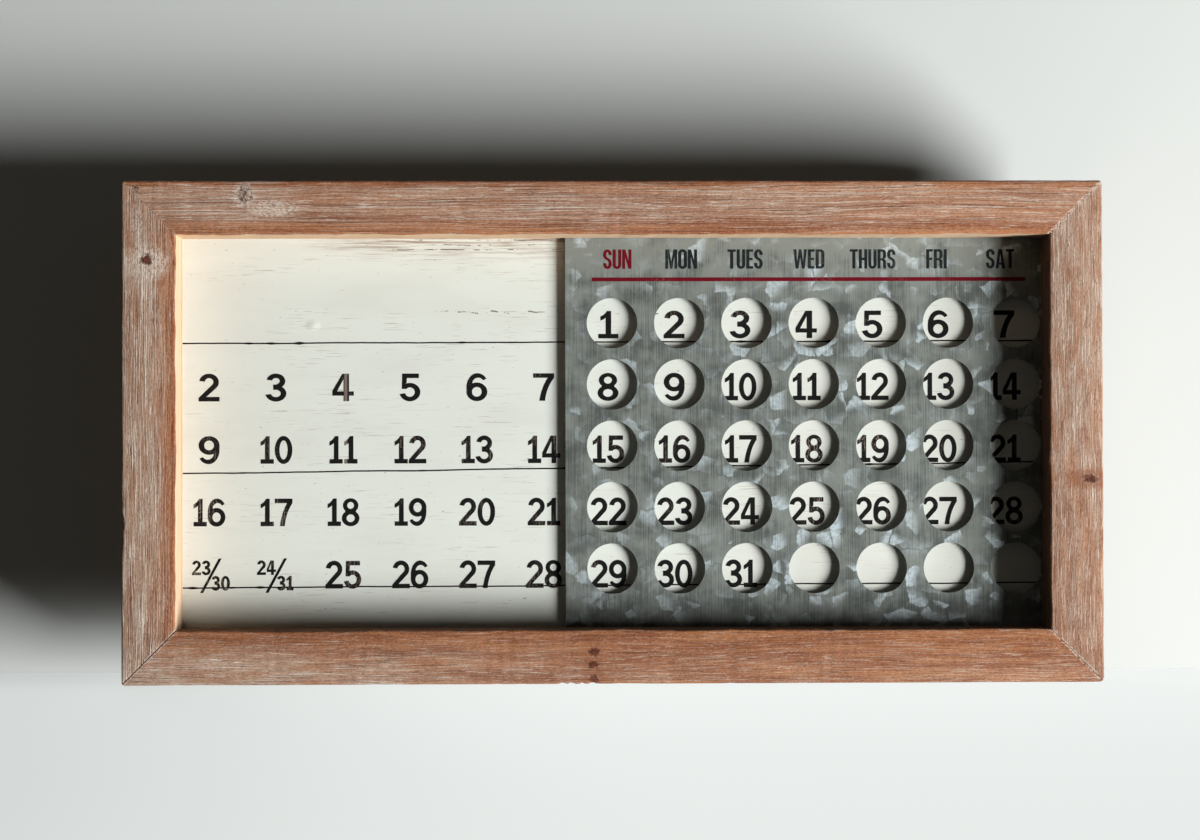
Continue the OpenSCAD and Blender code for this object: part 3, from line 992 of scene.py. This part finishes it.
def letter_w(width=0.70):
    leg, mid, foot, turn = POST * 0.95, width / 2, 0.075, width * 0.27
    return [[(0, 1), (turn - foot, 0), (turn + foot, 0), (mid, 0.60), (width - turn - foot, 0),
             (width - turn + foot, 0), (width, 1), (width - leg, 1), (width - turn - 0.005, 0.33),
             (mid + 0.07, 1), (mid - 0.07, 1), (turn + 0.005, 0.33), (leg, 1)]]


def letter_a(width=0.50):
    mid, leg = width / 2, POST * 0.97
    return [[(0, 0), (leg, 0), (leg + 0.025, 0.19), (width - leg - 0.025, 0.19), (width - leg, 0), (width, 0),
             (mid + 0.095, 1), (mid - 0.095, 1)],
            [(leg + 0.035, 0.30), (mid, 0.78), (width - leg - 0.035, 0.30)]]


def letter_u(width=0.45):
    mid = width / 2
    return [[(0, 1)] + arc(mid, BOWL, mid, BOWL + PAST, 180, 360) + [(width, 1), (width - POST, 1)]
            + arc(mid, BOWL, mid - POST, BOWL - BEAM, 360, 180) + [(POST, 1)]]


def letter_o(width=0.46):
    mid = width / 2
    return [arc(mid, BOWL, rx, ry, 180, 360) + arc(mid, 1 - BOWL, rx, ry, 0, 180)
            for rx, ry in ((mid, BOWL + PAST), (mid - POST, BOWL - BEAM))]


def eye(inner, floor):
    """The closed space in D and R: square at the post and round at the right."""
    rx, ry = 0.06, 0.08
    return ([(POST, floor)] + arc(inner, floor + ry, rx, ry, -90, 0) + arc(inner, TOP - ry, rx, ry, 0, 90)
            + [(POST, TOP)])


def letter_d(width=0.46):
    side = width - BOWL
    return [[(0, 0)] + arc(side, BOWL, BOWL, BOWL, -90, 0) + arc(side, 1 - BOWL, BOWL, BOWL, 0, 90)
            + [(0, 1)], eye(width - POST - 0.06, BEAM)]


def letter_r(width=0.47):
    turn, waist = 0.18, 0.44
    side, inner = width - turn, width - POST
    return [[(0, 0), (POST, 0), (POST, waist - 0.02), (POST + 0.05, waist - 0.02)]
            + arc(inner - 0.10, waist - 0.12, 0.09, 0.10, 90, 0)
            + [(inner - 0.005, 0.10), (inner + 0.02, 0), (width, 0), (width - 0.015, 0.08)]
            + arc(width - 0.115, 0.36, 0.10, 0.12, 0, 70)
            + arc(side, waist + 0.04 + turn, turn - 0.01, turn, -70, 0)
            + arc(side, 1 - turn, turn - 0.01, turn, 0, 90) + [(0, 1)],
            eye(inner - 0.07, waist + BEAM * 0.75)]


def letter_s(width=0.45):
    """One stroke down an S-shaped middle line, as wide as its direction asks."""
    mid, rx, top, low = width / 2, width / 2 - POST / 2, 0.745, 0.26
    spine = (arc(mid, top, rx, 0.255 - BEAM / 2, -10, 180) + arc(mid, top - 0.02, rx, 0.20, 190, 232)
             + arc(mid, low + 0.02, rx, 0.21, 52, 10) + arc(mid, low, rx, 0.27 - BEAM / 2, 0, -190))
    left, right = [], []
    for i, (x, y) in enumerate(spine):
        (x0, y0), (x1, y1) = spine[max(i - 1, 0)], spine[min(i + 1, len(spine) - 1)]
        run = math.hypot(x1 - x0, y1 - y0)
        nx, ny = (y0 - y1) / run * POST / 2, (x1 - x0) / run * BEAM / 2
        left.append((x + nx, y + ny))
        right.append((x - nx, y - ny))
    return [left + right[::-1]]


# The i is the narrow figure one that stands beside another figure
OUTLINES = {"0": zero, "1": one, "i": narrow_one, "2": two, "3": three, "4": four, "5": five, "6": six,
            "7": seven, "8": eight, "9": nine, "/": slash, "A": letter_a, "D": letter_d, "E": letter_e,
            "F": letter_f, "H": letter_h, "I": letter_i, "M": letter_m, "N": letter_n, "O": letter_o,
            "R": letter_r, "S": letter_s, "T": letter_t, "U": letter_u, "W": letter_w}


def stamp(bm, outlines, x, z, squeeze, height, y, ink):
    """Fills outlines as one thin sheet of ink that lies on the face at y, its left foot at x and z."""
    edges = []
    for outline in outlines:
        points = [bm.verts.new((x + px * height * squeeze, y - ink, z + pz * height)) for px, pz in outline]
        edges += [bm.edges.new((a, b)) for a, b in zip(points, points[1:] + points[:1])]
    filled = bmesh.ops.triangle_fill(bm, use_beauty=True, edges=edges)["geom"]
    draw_out(bm, only(BMFace, filled), (0, ink * INK_SUNK, 0))


def stamp_word(bm, word, place, height, y, ink, fit, before=0.5, stroke=()):
    """Stamps a word at mid height of a place, with half of it, all or nothing before it."""
    squeeze, gap = fit
    shapes = [OUTLINES[c](*stroke) for c in word]
    widths = [max(px for outline in shape for px, _ in outline) * squeeze for shape in shapes]
    x = place.x - (sum(widths) + gap * (len(word) - 1)) * height * before
    for shape, width in zip(shapes, widths):
        stamp(bm, shape, x, place.y - height / 2, squeeze, height, y, ink)
        x += (width + gap) * height


def day_text(row, column):
    """What stands at a place on the board: a number, two that share the place, or nothing."""
    day = row * WEEKDAYS + column - (WEEKDAYS - 2)
    if not 1 <= day <= LAST_DAY or row == 0 and column < WEEKDAYS - 1:
        return ""
    if row == WEEKS - 1 and column < 2:
        return f"{day}/{day + WEEKDAYS}"
    return str(day)


class CALENDAR_OT_add_day_numbers(bpy.types.Operator):
    """Prints the day numbers on the board, thirteen columns of five rows"""

    bl_idname = "calendar.add_day_numbers"
    bl_label = "Add day numbers"

    def execute(self, context):
        sizes, colours = settings(context)
        y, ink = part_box("day_board")[0].y, sizes.ink
        tall, small = sizes.numeral_height, sizes.shared_height
        bm = bmesh.new()
        for row in range(WEEKS):
            for column in range(2 * WEEKDAYS - 1):
                text = day_text(row, column)
                x = (DAY_FIRST.x + column * DAY_PITCH.x if column < WEEKDAYS - 1
                     else DAY_SECOND_X + (column - WEEKDAYS + 1) * DAY_SECOND_PITCH)
                place = Vector((x, DAY_FIRST.y - row * DAY_PITCH.y))
                if "/" in text:
                    first, second = text.replace("1", "i").split("/")
                    place.x = DAY_FIRST.x + column * SHARED_PITCH
                    stamp_word(bm, first, place + SHARED_FIRST, small, y, ink, SHARED, 1.0, BOLD)
                    stamp_word(bm, "/", place + SHARED_SLASH, sizes.slash_height, y, ink, ALONE)
                    stamp_word(bm, second, place + SHARED_SECOND, small, y, ink, SHARED, 0.0, BOLD)
                elif len(text) > 1:
                    stamp_word(bm, text.replace("1", "i"), place, tall, y, ink, PAIR)
                elif text:
                    stamp_word(bm, text, place, tall, y, ink, ALONE)
        black = printed_ink("black print, worn", colours.ink, colours.rubbed_ink, 0.55)
        finish_piece(bm, "day_numbers", "frame", [black])
        return {"FINISHED"}


class CALENDAR_OT_add_heads(bpy.types.Operator):
    """Prints the weekday heads and the rule under them on the sheet"""

    bl_idname = "calendar.add_heads"
    bl_label = "Add weekday heads"

    def execute(self, context):
        sizes, colours = settings(context)
        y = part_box("slide_panel")[0].y
        black = printed_ink("black print on zinc", colours.head_ink, colours.zinc, 0.18)
        red = printed_ink("red print on zinc", colours.red_ink, colours.zinc, 0.25)
        places = [(head, HEAD_FIRST + Vector((i * HEAD_PITCH, 0))) for i, head in enumerate(HEADS)]
        for name, heads, ink in (("sunday_head", places[:1], red), ("weekday_heads", places[1:], black)):
            bm = bmesh.new()
            for head, place in heads:
                fit = LONG_HEAD if len(head) > 4 else HEAD
                stamp_word(bm, head, place, sizes.head_height, y, sizes.ink, fit)
            finish_piece(bm, name, "panel", [ink])
        # The rule, with blunted corners
        bm = bmesh.new()
        half, wide = sizes.rule_width / 2, RULE_X[1] - RULE_X[0]
        soft = 0.4 * half
        rule = [(wide - soft, -half), (wide, -half + soft), (wide, half - soft), (wide - soft, half),
                (soft, half), (0, half - soft), (0, -half + soft), (soft, -half)]
        stamp(bm, [rule], RULE_X[0], RULE_Z, 1.0, 1.0, y, sizes.ink)
        finish_piece(bm, "heads_rule", "panel", [red])
        return {"FINISHED"}


class CALENDAR_OT_add_fixings(bpy.types.Operator):
    """Finishes the retaining points and corner nails behind the board"""

    bl_idname = "calendar.add_fixings"
    bl_label = "Finish fixings"

    def execute(self, context):
        steel = bright_steel(context.scene.calendar_colours)
        for name in ("board_points", "corner_nails"):
            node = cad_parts[name]
            node.data.materials.clear()
            node.data.materials.append(steel)
        return {"FINISHED"}


# Stage, in metres and watts

KEY_PLACE = Vector((1.765, -1.113, -0.602))
KEY_SIZE = (0.90, 1.11)
KEY_POWER = 96.0
KEY_TINT = (1.0, 1.0, 0.985)
REAR_PLACE = Vector((-0.6, 1.8, 0.8))
REAR_SIZE = (0.8, 0.8)
REAR_POWER = 36.0
REAR_TINT = (1.0, 1.0, 1.0)
# Strength of the even light from all sides
FILL = 0.042
# The wall's distance behind the frame and its middle, and half of the wall's and the floor's width
WALL_GAP = 28 * MM
WALL_Y = CAD_HIGH.y + WALL_GAP
WALL_MIDDLE = 0.1
WALL_HALF, FLOOR_HALF = 3.0, 2.0
# How much of the floor's tone is its own colour to the camera
FLOOR_SHOWN = 0.88
CAMERA_PLACE = Vector((-25.3 * MM, -1100 * MM, 93.0 * MM))
CAMERA_TURN = (math.radians(90.76), math.radians(0.14), math.radians(-1.04))
CAMERA_LENS = 79.68
CAMERA_SENSOR = 36.0
CAMERA_CLIP = (0.05, 20.0)


def lamp(name, place, size, power, tint, bounces=1024):
    """A soft rectangular lamp that faces the frame's middle, and whose light is thrown on so many times."""
    light = bpy.data.lights.new(name, "AREA")
    light.shape = "RECTANGLE"
    light.size, light.size_y = size
    light.energy = power
    light.color = tint
    light.cycles.max_bounces = bounces
    holder = bpy.data.objects.new(name, light)
    holder.location = place
    holder.rotation_euler = (Vector((0, 0, CAD_MID.z)) - place).to_track_quat("-Z", "Y").to_euler()
    put_in_scene(holder)


def stage_plane(name, matrix, size, material):
    """A wide flat plane that shows to the camera and takes shadows, and lights or shades nothing itself."""
    bm = bmesh.new()
    bmesh.ops.create_grid(bm, x_segments=8, y_segments=8, size=size, matrix=matrix)
    plane = make_object(bm, name, [material])
    put_in_scene(plane)
    plane.visible_shadow = plane.visible_diffuse = plane.visible_glossy = plane.visible_transmission = False


def pale_wall(pale):
    """Matt wall paint, rolled: even and pale in front, clear from behind, where the frame's back shows."""
    material = bpy.data.materials.new("pale wall, matt")
    node = start_nodes(material)
    seen = node("MixShader", node("NewGeometry", out="Backfacing"), node("BsdfDiffuse", pale),
                node("BsdfTransparent"))
    node("OutputMaterial", seen)
    return material


def pale_floor(pale):
    """Matt floor paint, rolled: mostly its own pale colour to the camera, graded as painted light so that it
    meets the wall evenly, with some of the shadow."""
    material, node, (x, y, _) = start_material("pale floor, matt")
    # Painted light: brighter towards the right and nearer the wall
    level = node(TIMES, node(SOFT, x, -0.28, 0.02, 1.03, 1.42),
                 node(SOFT, y, 0.0, -0.5, 1.0, 0.93))
    # Painted shadow: a little darker at the far left, where the wall beside it lies in shadow
    shaded = node(TIMES, node(SOFT, x, -0.12, -0.24),
                  node(SOFT, y, -0.06, WALL_Y, 0.0, 0.14))
    level = node(TIMES, level, node(LESS, 1.0, shaded))
    level = node(TIMES, level, node("LightPath", out="Is Camera Ray"))
    seen = node("MixShader", FLOOR_SHOWN, node("BsdfDiffuse", pale), node("Emission", pale, level))
    node("OutputMaterial", seen)
    return material


def pale_world(fill, pale):
    """Surroundings: pale to the eye and to what mirrors them, dim on the camera's side, and a weak even fill
    for the rest."""
    world = bpy.data.worlds.new("pale surroundings")
    node = start_nodes(world)
    path = node("LightPath").node.outputs
    side = node("SeparateXYZ", node("TexCoord", out="Generated")).node.outputs["Y"]
    mirrored = node(MOST, path["Is Glossy Ray"], path["Is Transmission Ray"])
    mirrored = node(TIMES, mirrored, node(SOFT, side, -0.3, 0.4, 0.06, 1.0))
    shown = node(MOST, path["Is Camera Ray"], mirrored)
    sky = node("Background", node("MixRGB", shown, fill, pale), node("MapRange", shown, 0.0, 1.0, FILL, 1.0))
    node("OutputWorld", sky)
    return world


class CALENDAR_OT_add_stage(bpy.types.Operator):
    """Adds a pale floor and wall, soft light from the lower right, and the camera"""

    bl_idname = "calendar.add_stage"
    bl_label = "Add stage"

    def execute(self, context):
        scene, colours = context.scene, context.scene.calendar_colours
        scene.view_settings.view_transform = "Standard"
        upright = Matrix.Translation((0, WALL_Y, WALL_MIDDLE)) @ Matrix.Rotation(math.pi / 2, 4, "X")
        stage_plane("wall", upright, WALL_HALF, pale_wall(colours.backdrop))
        level = Matrix.Translation((0, WALL_Y - FLOOR_HALF, 0))
        stage_plane("floor", level, FLOOR_HALF, pale_floor(colours.backdrop))
        scene.world = pale_world(colours.fill, colours.backdrop)
        lamp("key", KEY_PLACE, KEY_SIZE, KEY_POWER, KEY_TINT)
        # The rear lamp shows the back, and throws nothing on to the wall
        lamp("rear", REAR_PLACE, REAR_SIZE, REAR_POWER, REAR_TINT, 0)
        camera = bpy.data.cameras.new("camera")
        camera.lens, camera.sensor_width, camera.sensor_fit = CAMERA_LENS, CAMERA_SENSOR, "HORIZONTAL"
        camera.clip_start, camera.clip_end = CAMERA_CLIP
        holder = bpy.data.objects.new("camera", camera)
        holder.location, holder.rotation_euler = CAMERA_PLACE, CAMERA_TURN
        put_in_scene(holder)
        scene.camera = holder
        return {"FINISHED"}


class CALENDAR_PT_pieces(bpy.types.Panel):
    """Lists the calendar's pieces, sizes and colours in the sidebar"""

    bl_idname = "CALENDAR_PT_pieces"
    bl_label = "Perpetual calendar"
    bl_space_type = "VIEW_3D"
    bl_region_type = "UI"
    bl_category = "Calendar"

    def draw(self, context):
        for group in settings(context):
            column = self.layout.column()
            for key in group.bl_rna.properties.keys():
                if key not in ("rna_type", "name"):
                    column.prop(group, key)
        for operator in OPERATORS:
            self.layout.operator(operator.bl_idname)


OPERATORS = (CALENDAR_OT_add_rails, CALENDAR_OT_add_board, CALENDAR_OT_add_day_numbers, CALENDAR_OT_add_sheet,
             CALENDAR_OT_add_heads, CALENDAR_OT_add_fixings, CALENDAR_OT_add_stage)
CLASSES = (CalendarSizes, CalendarColours, *OPERATORS, CALENDAR_PT_pieces)


def register():
    for kind in CLASSES:
        bpy.utils.register_class(kind)
    bpy.types.Scene.calendar_sizes = PointerProperty(type=CalendarSizes)
    bpy.types.Scene.calendar_colours = PointerProperty(type=CalendarColours)


def unregister():
    del bpy.types.Scene.calendar_colours
    del bpy.types.Scene.calendar_sizes
    for kind in reversed(CLASSES):
        bpy.utils.unregister_class(kind)


def main():
    register()
    bpy.ops.calendar.add_rails()
    bpy.ops.calendar.add_board()
    bpy.ops.calendar.add_day_numbers()
    bpy.ops.calendar.add_sheet()
    bpy.ops.calendar.add_heads()
    bpy.ops.calendar.add_fixings()
    bpy.ops.calendar.add_stage()


if __name__ == "__main__":
    main()
